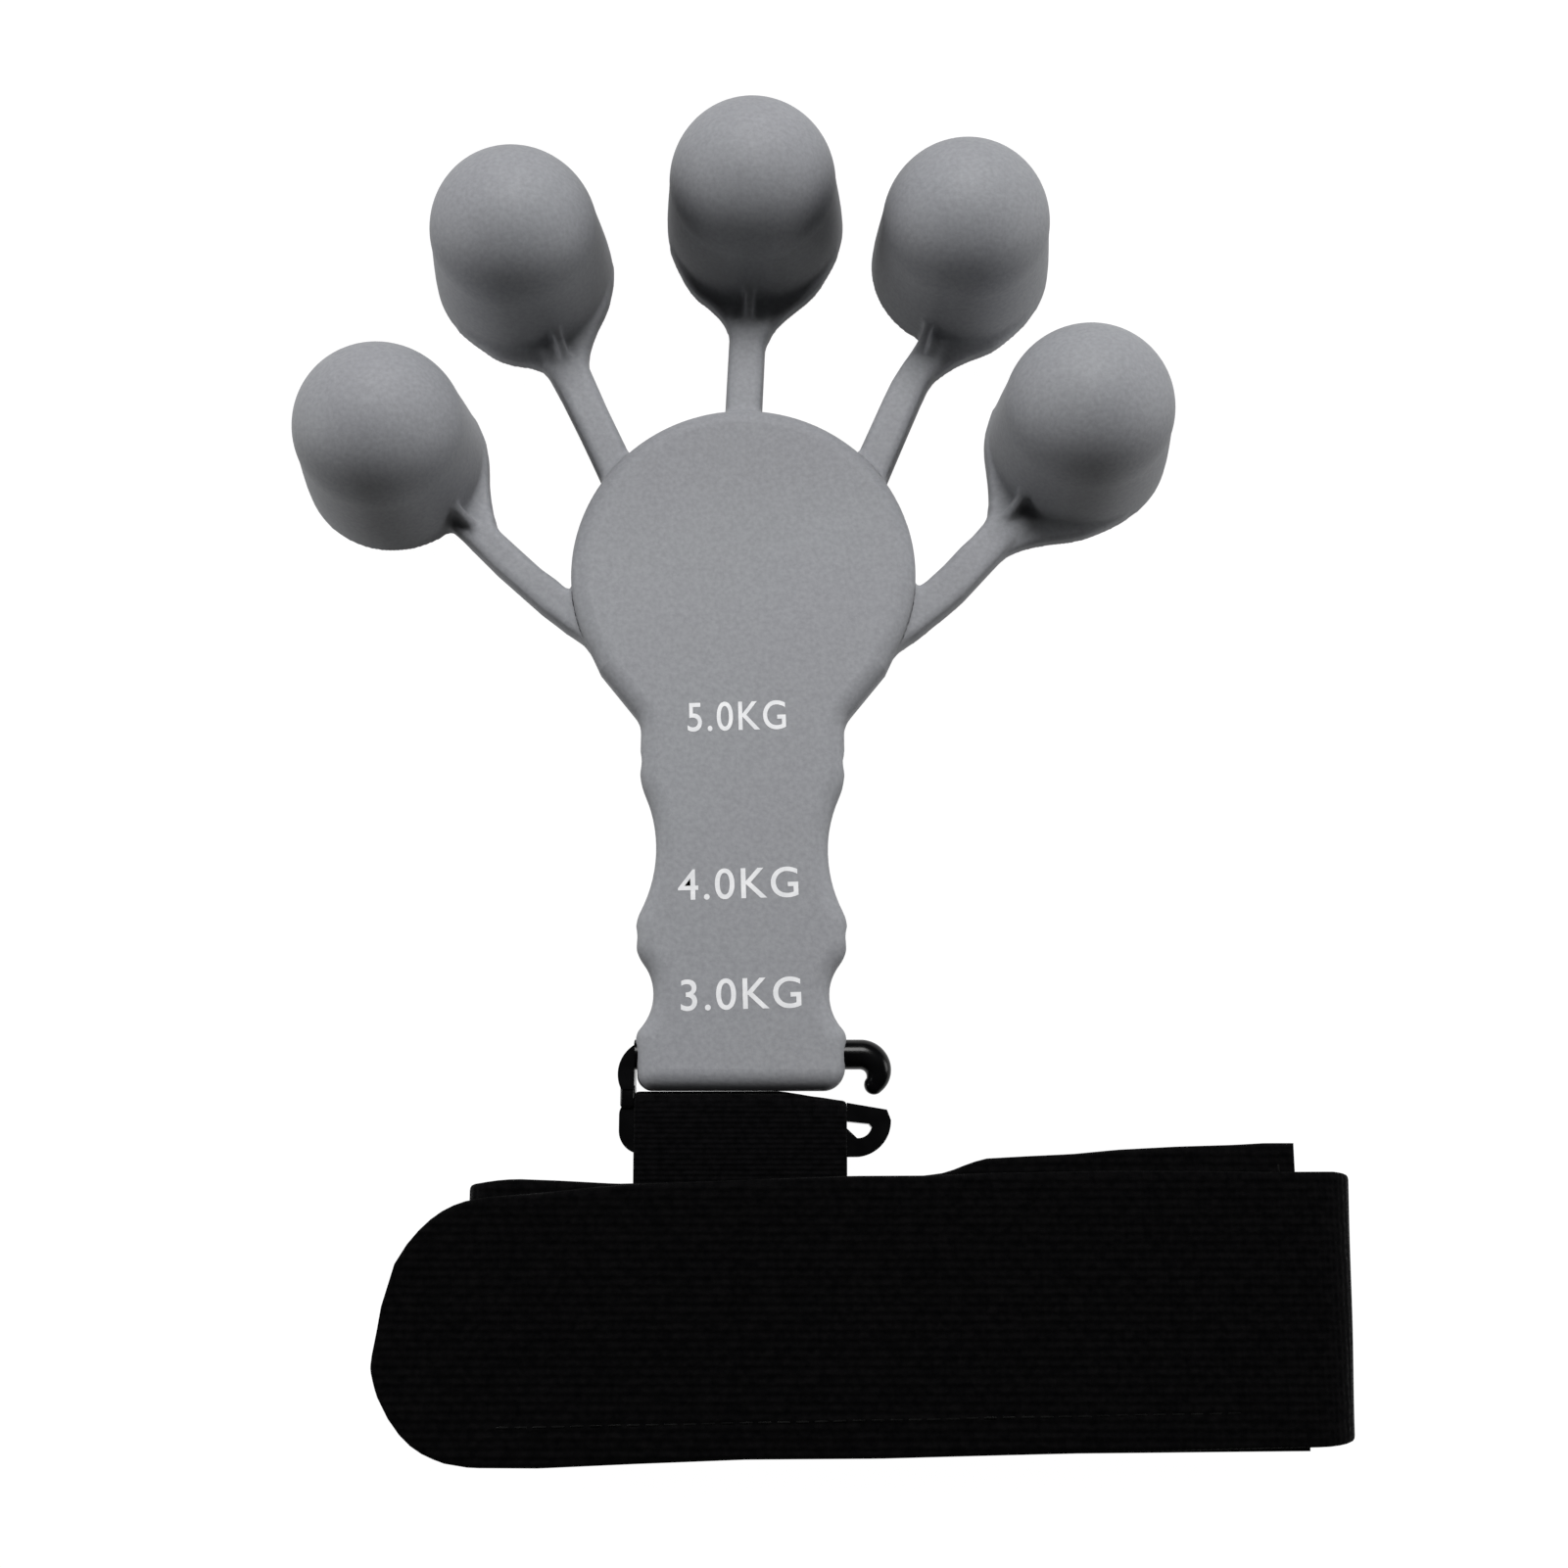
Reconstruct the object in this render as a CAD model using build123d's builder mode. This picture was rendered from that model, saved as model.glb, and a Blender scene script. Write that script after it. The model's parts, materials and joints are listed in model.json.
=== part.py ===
from build123d import *
import os
from math import atan2, cos, degrees, radians, sin

os.makedirs("parts", exist_ok=True)

# Finger exerciser, in millimetres. The palm disc's centre on the table is the origin,
# +Y points to the middle finger, +X to the right-hand fingers and +Z up through the cups.

# Palm pad and handle
DISC_R = 26.8
PAD_H = 7.8
PAD_ROUND = 2.9
HANDLE_END_Y = -79.6
SIDE = [(24.9, -9.8), (22.0, -16.0), (15.5, -24.1), (15.85, -65.6), (15.15, HANDLE_END_Y)]
WAISTS = [(33.95, -43.8, 21.0), (20.65, -65.6, 7.6)]  # centre x, centre y, radius
CORNERS = [(-24.1, 1, 5.0), (-33.8, 2, 10.0), (-57.0, 4, 5.5), (-71.3, 2, 2.4)]  # y, reach, radius
END_ROUND_LEFT = 2.2
END_ROUND_RIGHT = 3.2
TUNNEL_Y = [-74.3, -57.2, -30.4]
TUNNEL_R = 2.28
AXIS_Z = PAD_H / 2

# Fingers: name, angle of the arm's root round the disc, cup centre
FINGERS = [
    ("left_outer", 186.5, (-55.5, 19.9)),
    ("left_inner", 135.7, (-35.9, 52.8)),
    ("middle", 89.8, (1.4, 61.2)),
    ("right_inner", 44.7, (34.8, 54.1)),
    ("right_outer", -6.9, (53.0, 23.0)),
]
ARM_W = 5.5
ARM_H = 4.5
ROOT_ROUND = 0.8
GAP = 0.3  # between bodies that are one moulding in the real thing
ROOT_R = DISC_R + GAP + ARM_W / 2  # radius of the arms' sideways pivots
ROOT_RUN = 4.4  # sideways pivot to the end of the root piece
STUB_FROM_CUP = 18.0  # cup centre to the end of the cup's own stub

# Cups
RIM_R = 14.15
DOME_R = 13.1
DOME_Z = 14.6
BORE_R = 11.3
FAN_H = 3.2
FAN_TIP = (-10.0, 10.0)  # where the fan's slanted side touches the rim
RIB_W = 1.3
RIB_TOP = 8.0
RIB_ROOT = 0.6  # depth of the rib's edge inside the cup wall

# Clasp
ROD_R = 2.2
HOOK_R = 2.65
HOOK_CENTRE = (17.6, TUNNEL_Y[0] - HOOK_R)
HOOK_END_DEG = -42
HOOK_TAPER = [(0.0, ROD_R), (0.5, 2.05), (1.0, 1.45)]  # along the curl: place, radius
CHEEK_X = (-17.95, -15.6)
CHEEK_TOP = 1.3  # above the rod's axis
CHEEK_WIDEST = 2.1  # below the rod's axis
WEB_X = (-17.5, -15.9)
WEB_Y = (-79.5, -80.9)
WEB_H = 3.4
LINK_T = 2.6
LINK_TOP = [(-17.8, -81.1), (6.0, -81.1), (16.2, -82.6)]  # the bar's upper edge
LINK_FOOT_Y = -88.8
NOSE_TOP = [(15.55, -81.4), (21.4, -82.4)]
NOSE_ARC = [(21.97, -83.9), (20.65, -87.45), (16.9, -89.2)]
EYE_TOP = [(14.9, -84.05), (18.75, -84.45)]
EYE_ARC = [(19.15, -84.95), (18.55, -85.95), (17.0, -86.5)]
EYE_FOOT = (15.3, -84.9)
LINK_ROUND_TOP = 2.0
LINK_ROUND_FOOT = 3.4
LOOP_ROUND = 2.4

# Strap
TAB_X = (-15.45, 15.4)
TAB_T = 1.1
TAB_SLACK = 0.2
STRAP_W = 38.0
STRAP_T = 2.0
BACK_X = (-33.6, 80.5)
INNER_END_X = 79.6
FLAP_X = (-51.5, 80.5)
BACK_TOP = (-92.7, -91.5)  # y of the layer's upper edge at x = -40 and x = 87
INNER_TOP = (-93.3, -87.4)
FLAP_TOP = (-93.5, -90.8)
FLAP_ROUND = 16.0
NECK_H = 1.2
NECK_GAP = 0.15
TAIL_END_Y = -99.5
INNER_Z = 6.4
FLAP_Z = 9.5
EDGE_XS = (-40.0, 87.0)
FOLD_GAP = 0.9
TAPE_X = (-39.5, -17.5)
TAPE_W = 27.0
TAPE_T = 0.7
TAPE_ROUND = 8.0


def save(builder, name):
    builder.part.label = name
    export_step(builder.part, f"parts/{name}.step")


def unit(angle):
    return Vector(cos(radians(angle)), sin(radians(angle)), 0)


def heading(a, b):
    return degrees(atan2(b.Y - a.Y, b.X - a.X))


def along(origin, angle):
    """A level plane at origin whose x axis has this heading."""
    return Plane(origin=origin, x_dir=unit(angle), z_dir=(0, 0, 1))


def upright(origin, angle):
    """The vertical plane that holds this heading: x along it, y up."""
    return Plane(origin=origin, x_dir=unit(angle), z_dir=unit(angle - 90))


def dome_profile(plane, rim, dome):
    """Half of a cup's section: a skirt from the rim's radius up to a round crown."""
    with BuildSketch(plane) as profile:
        with BuildLine():
            side = Line((rim, 0), (dome, DOME_Z))
            crown = ThreePointArc(
                side @ 1,
                (dome * cos(radians(45)), DOME_Z + dome * sin(radians(45))),
                (0, DOME_Z + dome),
            )
            Polyline(crown @ 1, (0, 0), side @ 0)
        make_face()
    return profile.sketch


# ---- palm pad: disc, shoulders and waisted handle in one piece, with three cross tunnels
with BuildPart() as palm_body:
    with BuildSketch():
        Circle(DISC_R)
        with BuildLine():
            Polyline((0, SIDE[0][1]), *SIDE, (0, HANDLE_END_Y), close=True)
        make_face()
        for x, y, radius in WAISTS:
            with Locations((x, y)):
                Circle(radius, mode=Mode.SUBTRACT)
        split(bisect_by=Plane.YZ)
        mirror(about=Plane.YZ)
    extrude(amount=PAD_H)
    for y, reach, radius in CORNERS:
        uprights = palm_body.edges().filter_by(Axis.Z)
        fillet(uprights.filter_by(lambda e: abs(e.center().Y - y) < reach), radius)
    end_corners = palm_body.edges().filter_by(Axis.Z).group_by(Axis.Y)[0].sort_by(Axis.X)
    fillet(end_corners[0], END_ROUND_LEFT)
    fillet(end_corners[-1], END_ROUND_RIGHT)
    fillet(palm_body.edges().group_by(Axis.Z)[-1] + palm_body.edges().group_by(Axis.Z)[0], PAD_ROUND)
    for y in TUNNEL_Y:
        with BuildSketch(Plane.YZ):
            with Locations((y, AXIS_Z)):
                Circle(TUNNEL_R)
        extrude(amount=DISC_R, both=True, mode=Mode.SUBTRACT)
save(palm_body, "palm_body")

fan_x, fan_y = FAN_TIP

# ---- fingers: a root that swings sideways, an arm that lifts, a cup that slides out as it stretches
for name, root_angle, (cup_x, cup_y) in FINGERS:
    pivot = unit(root_angle) * ROOT_R
    cup_centre = Vector(cup_x, cup_y, 0)
    angle = heading(pivot, cup_centre)
    elbow = pivot + unit(angle) * (ROOT_RUN + GAP + ARM_H / 2)
    stub_end = cup_centre - unit(angle) * STUB_FROM_CUP
    arm_run = (stub_end - elbow).length - GAP

    with BuildPart() as arm_root:
        with BuildSketch(along(pivot, angle)):
            Circle(ARM_W / 2)
            with Locations((ROOT_RUN / 2, 0)):
                Rectangle(ROOT_RUN, ARM_W)
        extrude(amount=ARM_H)
        fillet(arm_root.edges().group_by(Axis.Z)[-1], ROOT_ROUND)
    save(arm_root, f"arm_root_{name}")

    with BuildPart() as arm:
        with BuildSketch(upright(elbow, angle)):
            with Locations((0, ARM_H / 2)):
                Circle(ARM_H / 2)
            with Locations((arm_run / 2, ARM_H / 2)):
                Rectangle(arm_run, ARM_H)
        extrude(amount=ARM_W / 2, both=True)
    save(arm, f"arm_{name}")

    dome_plane = upright(cup_centre, angle)
    cup_axis = Axis(cup_centre, (0, 0, 1))
    with BuildPart() as cup:
        revolve(dome_profile(dome_plane, RIM_R, DOME_R), axis=cup_axis)
        with BuildSketch(along(cup_centre, angle)):
            Polygon(
                (fan_x - fan_y + ARM_W / 2, ARM_W / 2),
                (fan_x, fan_y),
                (fan_x, -fan_y),
                (fan_x - fan_y + ARM_W / 2, -ARM_W / 2),
                align=None,
            )
        extrude(amount=FAN_H)
        with BuildSketch(along(cup_centre, angle)):
            with Locations(((-STUB_FROM_CUP - DOME_R) / 2, 0)):
                Rectangle(STUB_FROM_CUP - DOME_R, ARM_W)
        extrude(amount=ARM_H)
        with BuildSketch(dome_plane):
            Polygon(
                (-STUB_FROM_CUP + 1, ARM_H),
                (-DOME_R + RIB_ROOT, RIB_TOP),
                (-DOME_R + RIB_ROOT, ARM_H),
                align=None,
            )
        extrude(amount=RIB_W / 2, both=True)
        revolve(dome_profile(dome_plane, BORE_R, BORE_R), axis=cup_axis, mode=Mode.SUBTRACT)
    save(cup, f"cup_{name}")

# ---- clasp: a hooked arm through the end tunnel, a slotted link, and the thin web between them
rod_y = TUNNEL_Y[0]
cheek_outer, cheek_inner = CHEEK_X
web_outer, web_inner = WEB_X
web_top, web_bottom = WEB_Y
mid_plane = Plane.XY.offset(AXIS_Z)
hook_x, hook_y = HOOK_CENTRE

with BuildPart() as clasp_hook:
    with BuildLine(mid_plane):
        shank = Line((cheek_outer + ROD_R, rod_y), (hook_x, rod_y))
    with BuildSketch(Plane(origin=shank @ 0, z_dir=shank % 0)):
        Circle(ROD_R)
    sweep()
    with BuildLine(mid_plane):
        curl = CenterArc((hook_x, hook_y), HOOK_R, 90, HOOK_END_DEG - 90)
    for place, radius in HOOK_TAPER:
        with BuildSketch(Plane(origin=curl @ place, z_dir=curl % place)):
            Circle(radius)
    sweep(multisection=True)
    with Locations(curl @ 1):
        Sphere(HOOK_TAPER[-1][1])
    with BuildSketch(mid_plane):
        with BuildLine():
            bulge = ThreePointArc(
                (cheek_inner, rod_y + CHEEK_TOP),
                (cheek_outer, rod_y - CHEEK_WIDEST),
                (web_outer, web_top),
            )
            Polyline(bulge @ 1, (cheek_inner, web_top), bulge @ 0)
        make_face()
    extrude(amount=ROD_R, both=True)
save(clasp_hook, "clasp_hook")

with BuildPart() as clasp_web:
    with Locations(((web_outer + web_inner) / 2, (web_top + web_bottom) / 2, AXIS_Z)):
        Box(web_inner - web_outer, web_top - web_bottom, WEB_H)
save(clasp_web, "clasp_web")


def bar_outline(x_from, x_to, margin):
    """The link's bar grown by a margin at its top and foot, between two places along it."""
    inner = [point for point in LINK_TOP if x_from < point[0] < x_to]
    top = [(x_from, LINK_TOP[0][1]), *inner, (x_to, LINK_TOP[-1][1])]
    raised = [(x, y + margin) for x, y in top]
    with BuildSketch(mid_plane) as outline:
        with BuildLine():
            Polyline(*raised, (x_to, LINK_FOOT_Y - margin), (x_from, LINK_FOOT_Y - margin), close=True)
        make_face()
    return outline.sketch


with BuildPart() as clasp_link:
    extrude(bar_outline(LINK_TOP[0][0], LINK_TOP[-1][0], 0), amount=LINK_T / 2, both=True)
    left_corners = clasp_link.edges().filter_by(Axis.Z).group_by(Axis.X)[0].sort_by(Axis.Y)
    fillet(left_corners[0], LINK_ROUND_FOOT)
    fillet(left_corners[-1], LINK_ROUND_TOP)
    with BuildSketch(mid_plane):
        with BuildLine():
            brow = Polyline(*NOSE_TOP)
            nose = ThreePointArc(*NOSE_ARC)
            Line(brow @ 1, nose @ 0)
            Polyline(nose @ 1, (NOSE_TOP[0][0], NOSE_ARC[-1][1]), brow @ 0)
        make_face()
    extrude(amount=LINK_T / 2, both=True)
    with BuildSketch(mid_plane):
        with BuildLine():
            lid = Polyline(*EYE_TOP)
            bowl = ThreePointArc(*EYE_ARC)
            Line(lid @ 1, bowl @ 0)
            Polyline(bowl @ 1, EYE_FOOT, lid @ 0)
        make_face()
    extrude(amount=LINK_T / 2, both=True, mode=Mode.SUBTRACT)
save(clasp_link, "clasp_link")

# ---- webbing tab: a flat loop round the link, and the sewn tail below it
tab_left, tab_right = TAB_X
loop_h = LINK_T + 2 * (TAB_SLACK + TAB_T)
hole_h = LINK_T + 2 * TAB_SLACK
with BuildPart() as tab_loop:
    extrude(bar_outline(tab_left, tab_right, TAB_SLACK + TAB_T), amount=loop_h / 2, both=True)
    level = tab_loop.edges().filter_by(Axis.Z, reverse=True)
    fillet(level.filter_by(lambda e: abs(e.tangent_at(0).X) > 0.5), LOOP_ROUND)
    extrude(bar_outline(tab_left, tab_right, TAB_SLACK), amount=hole_h / 2, both=True, mode=Mode.SUBTRACT)
save(tab_loop, "tab_loop")

loop_bottom = LINK_FOOT_Y - TAB_SLACK - TAB_T
tail_top = loop_bottom - NECK_H - 2 * NECK_GAP
tab_x = (tab_left + tab_right) / 2
with BuildPart() as tab_neck:
    with Locations((tab_x, loop_bottom - NECK_GAP - NECK_H / 2, AXIS_Z + TAB_T / 2)):
        Box(tab_right - tab_left, NECK_H, 3 * TAB_T)
save(tab_neck, "tab_neck")

with BuildPart() as tab_tail:
    with Locations((tab_x, (tail_top + TAIL_END_Y) / 2, INNER_Z - GAP - TAB_T)):
        Box(tab_right - tab_left, tail_top - TAIL_END_Y, 2 * TAB_T)
save(tab_tail, "tab_tail")


# ---- strap: back layer, inner layer and front flap, with a turned fold at each end
def layer_slope(tops):
    return (tops[1] - tops[0]) / (EDGE_XS[1] - EDGE_XS[0])


def layer_face(x_from, x_to, tops, z, rounded_left=False):
    """A strap layer's outline: its upper edge runs straight between two heights."""
    slope = layer_slope(tops)
    top_from = tops[0] + slope * (x_from - EDGE_XS[0])
    plane = Plane(origin=(x_from, top_from, z), x_dir=(1, slope, 0), z_dir=(0, 0, 1))
    run = (x_to - x_from) * (1 + slope**2) ** 0.5
    with BuildSketch(plane) as layer:
        with Locations((run / 2, -STRAP_W / 2)):
            Rectangle(run, STRAP_W)
        if rounded_left:
            fillet(layer.vertices().group_by(Axis.X)[0], FLAP_ROUND)
    return layer.sketch


def turned_fold(x, tops_below, tops_above, z_above, side):
    """Half a tube that joins the ends of two layers; side is -1 on the left, 1 on the right."""
    slope = (layer_slope(tops_below) + layer_slope(tops_above)) / 2
    top = tops_below[0] + layer_slope(tops_below) * (x - EDGE_XS[0])
    top_above = tops_above[0] + layer_slope(tops_above) * (x - EDGE_XS[0])
    outer = (z_above + STRAP_T) / 2
    plane = Plane(
        origin=(x + side * FOLD_GAP, (top + top_above) / 2, outer),
        x_dir=(side, side * slope, 0),
        z_dir=(side * slope, -side, 0),
    )
    with BuildPart() as fold:
        with BuildSketch(plane):
            Circle(outer)
            Circle(outer - STRAP_T, mode=Mode.SUBTRACT)
            split(bisect_by=Plane.YZ)
        extrude(amount=side * STRAP_W)
    return fold


with BuildPart() as strap_back:
    extrude(layer_face(*BACK_X, BACK_TOP, 0), amount=STRAP_T)
save(strap_back, "strap_back")

with BuildPart() as strap_inner:
    extrude(layer_face(BACK_X[0], INNER_END_X, INNER_TOP, INNER_Z), amount=STRAP_T)
save(strap_inner, "strap_inner")

with BuildPart() as strap_flap:
    extrude(layer_face(*FLAP_X, FLAP_TOP, FLAP_Z, rounded_left=True), amount=STRAP_T)
save(strap_flap, "strap_flap")

save(turned_fold(BACK_X[0], BACK_TOP, INNER_TOP, INNER_Z, -1), "strap_fold_left")
save(turned_fold(BACK_X[1], BACK_TOP, FLAP_TOP, FLAP_Z, 1), "strap_fold_right")

# ---- hook tape: the fastening patch sewn under the flap's rounded end
with BuildPart() as hook_tape:
    with BuildSketch(Plane.XY.offset(FLAP_Z - TAPE_T)):
        with Locations(((TAPE_X[0] + TAPE_X[1]) / 2, FLAP_TOP[0] - STRAP_W / 2)):
            RectangleRounded(TAPE_X[1] - TAPE_X[0], TAPE_W, TAPE_ROUND)
    extrude(amount=TAPE_T)
save(hook_tape, "hook_tape")
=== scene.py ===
import json
from math import atan2, cos, hypot, pi, radians, sin

import bmesh
import bpy
import numpy as np
import openvdb
from mathutils import Matrix, Vector


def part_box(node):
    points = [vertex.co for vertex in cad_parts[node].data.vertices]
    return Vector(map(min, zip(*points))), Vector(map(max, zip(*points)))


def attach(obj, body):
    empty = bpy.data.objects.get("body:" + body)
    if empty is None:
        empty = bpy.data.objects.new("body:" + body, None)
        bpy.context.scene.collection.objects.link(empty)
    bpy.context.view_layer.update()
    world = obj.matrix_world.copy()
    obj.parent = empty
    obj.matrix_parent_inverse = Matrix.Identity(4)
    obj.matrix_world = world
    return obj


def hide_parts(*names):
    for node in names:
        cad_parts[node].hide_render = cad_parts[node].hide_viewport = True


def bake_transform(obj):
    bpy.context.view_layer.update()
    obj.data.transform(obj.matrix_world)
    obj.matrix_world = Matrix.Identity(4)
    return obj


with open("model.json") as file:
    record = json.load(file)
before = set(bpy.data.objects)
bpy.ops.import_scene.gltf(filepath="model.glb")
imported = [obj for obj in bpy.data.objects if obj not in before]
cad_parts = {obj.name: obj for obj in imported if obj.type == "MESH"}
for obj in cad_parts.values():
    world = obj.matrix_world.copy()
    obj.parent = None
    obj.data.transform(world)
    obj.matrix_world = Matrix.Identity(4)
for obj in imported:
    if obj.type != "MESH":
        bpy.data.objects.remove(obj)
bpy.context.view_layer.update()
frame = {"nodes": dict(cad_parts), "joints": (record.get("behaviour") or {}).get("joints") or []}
MM = 0.001

# ---------------------------------------------------------------- driving dimensions, in mm
PAD_R, PAD_H, PAD_ROUND = 26.8, 7.8, 2.9
ARM_HALF, ARM_H = 2.9, 4.5
DOME_R, DOME_Z, BORE_R = 13.1, 14.6, 11.3
SKIRT_Z = [0.0, 4.0, 8.0, 11.5, DOME_Z]  # the cup wall's outline: height, radius
SKIRT_R = [14.45, 14.2, 13.8, 13.4, DOME_R]
FAN_H = 3.2
RIB_HALF, RIB_FOOT, RIB_HEAD = 0.7, (-18.5, 4.2), (-13.2, 7.8)
CAD_RIM_R = 14.15
VOXEL = 0.45
SKIRT_INSET = 0.12  # the root's hidden skirt lies this far inside the pad
CUT_ROOT, CUT_ARM = 3.2, 10.2  # where a finger's skin is divided, from its pivot
GRID_LOW = (-14.0, -15.9, -0.9)  # the corner of a finger's grid, from its pivot
GRID_PAST_CUP, GRID_HALF_W, GRID_TOP = 15.7, 15.9, 28.8
FIELD_LIMIT = 3.0
PAD_HIDE = 0.04  # skin deeper than this inside the pad is deleted

# How softly the surfaces of a finger run into each other
STRIP_SOFT, FAN_SOFT, WEB_SOFT = 1.4, 1.0, 0.5
ROOT_SOFT, RIB_SOFT, LIP_SOFT = 1.0, 0.8, 0.6
PAD_SOFT, FOOT_SOFT = 1.6, 0.5
STRIP_END, FAN_END, RIB_END = -10, -5, -12.3  # where each part stops short of the cup's centre

# A finger's edges in plan: places along the arm measured back from the cup's centre, then half-widths.
FINGERS = {
    "left_outer": {
        "left": ([-49, -46, -40, -34.8, -25, -20, -17, -13], [0.4, 1.6, 2.4, 2.8, 2.8, 2.5, 2.3, 2.3]),
        "right": (
            [-33, -30, -21, -19.8, -18.3, -16.8, -15.3, -13.8, -12.3, -10.8, -8, -5],
            [2.35, 2.05, 2.2, 2.5, 3.45, 4.55, 5.7, 7.0, 8.5, 9.85, 11.8, 13.0],
        ),
        "rim_shift": 0.3,
    },
    "left_inner": {
        "left": (
            [-35, -30, -23, -20, -18.6, -17.1, -15.6, -14.1, -12.6, -11.1, -8, -5],
            [3.05, 3.1, 3.3, 3.5, 3.7, 4.2, 5.7, 8.0, 9.7, 10.8, 12.3, 13.4],
        ),
        "right": (
            [-35, -28, -20, -18.6, -17.1, -15.6, -14.1, -12.6, -11.1, -8, -5],
            [2.6, 2.5, 2.65, 3.15, 4.2, 5.4, 6.8, 8.6, 10.0, 11.9, 13.1],
        ),
        "rim_shift": 0.15,
    },
    "middle": {
        "left": (
            [-31, -21, -19.4, -17.9, -16.4, -14.9, -13.4, -11.9, -10.4, -8, -5],
            [2.95, 2.9, 3.1, 3.95, 5.05, 6.7, 8.7, 10.0, 11.0, 12.1, 13.2],
        ),
        "right": (
            [-31, -22, -20.9, -19.4, -17.9, -16.4, -14.9, -13.4, -11.9, -10.4, -8, -5],
            [2.65, 2.65, 2.9, 3.6, 4.55, 5.8, 7.4, 9.1, 10.4, 11.4, 12.4, 13.4],
        ),
        "rim_shift": -0.2,
    },
    "right_inner": {
        "left": ([-36, -27, -23.8, -20.8, -17.8, -15, -13], [2.6, 2.4, 2.25, 1.8, 1.2, 0.7, 0.7]),
        "right": (
            [-36, -25, -22.3, -20.8, -19.3, -17.8, -16.3, -14.8, -13.3, -11.8, -10.3, -8, -5],
            [3.1, 3.15, 3.25, 3.6, 4.4, 5.3, 6.4, 7.7, 9.3, 10.7, 11.6, 12.6, 13.5],
        ),
        "rim_shift": -0.3,
    },
    "right_outer": {
        "left": (
            [-35.4, -33.9, -30, -26, -23.4, -20.4, -18.9, -17.4, -15.9, -14.4, -12.9, -11.4, -9.9, -8, -5],
            [2.9, 2.6, 2.25, 2.2, 1.95, 2.0, 2.45, 3.5, 4.8, 6.25, 7.85, 9.4, 10.7, 11.9, 13.1],
        ),
        "right": (
            [-49, -47, -44, -41.4, -38.4, -35.4, -32, -26, -23.4, -21.9, -20.4, -18.9, -17.4, -15.9, -14.4,
             -12.9, -11.4, -9.9, -8, -5],
            [0.2, 0.5, 1.4, 2.05, 2.5, 3.0, 3.4, 3.5, 3.6, 3.85, 4.45, 5.25, 6.3, 7.5, 8.85, 10.1, 11.2, 12.0,
             12.8, 13.6],
        ),
        "rim_shift": -0.35,
    },
}

# Clasp and webbing tab
MID_Z = PAD_H / 2
BAR_TOP_X, BAR_TOP_Y = [-17.9, 6.0, 10.6, 12.8, 16.2], [-80.95, -80.9, -81.65, -81.95, -82.45]
BAR_HALF_T = 1.3
TAB_X = (-15.55, 15.5)
TAB_T = 1.1
TAB_SLACK = 0.15
TAIL_Y = -99.5
TAIL_Z = (4.45, 5.55)

# Strap: plan outlines of its edges and the heights of its layers
STRAP_T = 2.0
STRAP_W = 38.0
INNER_TOP = (
    [-40, -37.5, -35.5, -31.8, -26.2, -17.7, 15.2, 26, 29, 31,
     33.1, 35.3, 41.6, 48, 54.4, 63, 71.4, 75.7, 80],
    [-92.9, -92.85, -92.5, -92.4, -92.6, -93.05, -92.3, -91.95, -91.6, -91.0,
     -90.15, -89.5, -89.15, -88.85, -88.25, -87.8, -87.55, -87.3, -87.3],
)
BACK_TOP = ([-40, 87], [-93.2, -91.9])
FLAP_TOP = (
    [-51.45, -51.15, -50.8, -50.35, -49.95, -49.2, -48.2, -46.9, -45.1, -43.2, -41.2, -38.9,
     -36.5, -28.6, -21.1, -14.7, 16, 26.5, 35.4, 52, 64, 75, 84, 87],
    [-118.2, -116.0, -114.0, -111.0, -107.8, -105.2, -103.3, -101.3, -99.2, -97.5, -96.3, -95.5,
     -95.0, -94.4, -93.6, -93.1, -92.0, -91.95, -91.6, -91.3, -91.3, -91.45, -91.4, -91.7],
)
FLAP_FOOT = (
    [-51.45, -50.95, -50.35, -49.25, -48.1, -46.3, -45.0, -43.8, -41.1,
     -37.0, -27.6, -14.0, 0.8, 19.8, 41.5, 63.2, 82, 87],
    [-118.2, -120.1, -122.0, -124.0, -126.0, -127.95, -129.0, -129.7, -130.9,
     -131.55, -131.6, -131.0, -130.45, -130.3, -129.75, -129.25, -128.8, -128.45],
)
FREE_END_X, LEFT_BEND_X, RIGHT_BEND_X, JOIN_X = 79.95, -35.1, 81.55, 80.5
INNER_MID, BACK_MID, FLAP_MID = 7.4, 1.0, 10.5
RIGHT_LEAN = 0.035  # how far the right fold's line leans back for each mm along it
BACK_INSET = 0.3  # the back layer is this much narrower than the strap
EDGE_ROUND, TAB_EDGE_ROUND = 0.9, 0.6
SWELL = 0.09  # scales the cloth's unevenness
TAB_LENGTHWAYS, TAB_ACROSS = 0.5, 30  # the step along the tab, and the places across it

# Marks on the handle: left, right, foot and head of each
MARK_TURN_DEG = 1.7
MARKS = [
    ("5.0KG", -8.3, 6.6, -25.9, -21.35),
    ("4.0KG", -9.45, 8.45, -51.65, -47.0),
    ("3.0KG", -8.85, 8.85, -68.05, -63.4),
]
MARK_RISE, MARK_SPACING, MARK_BOLDER = 0.04, 1.12, 0.007

# Stitches and hook tape
STITCH_SHARE = 0.62  # how much of the pitch the thread covers
FLAP_PITCH, HEM_PITCH = 2.6, 2.2
FLAP_THREAD_R, HEM_THREAD_R = 0.13, 0.15
THREAD_SIDES = 6
HOOK_PITCH, HOOK_MARGIN, HOOK_LEAN = 0.8, 1.0, 0.16


# ---------------------------------------------------------------- materials
def material(name, colour, roughness, **sockets):
    m = bpy.data.materials.new(name)
    m.use_nodes = True
    shader = m.node_tree.nodes["Principled BSDF"]
    shader.inputs["Base Color"].default_value = (*colour, 1)
    shader.inputs["Roughness"].default_value = roughness
    for socket, value in sockets.items():
        shader.inputs[socket.replace("_", " ")].default_value = value
    return m


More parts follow.
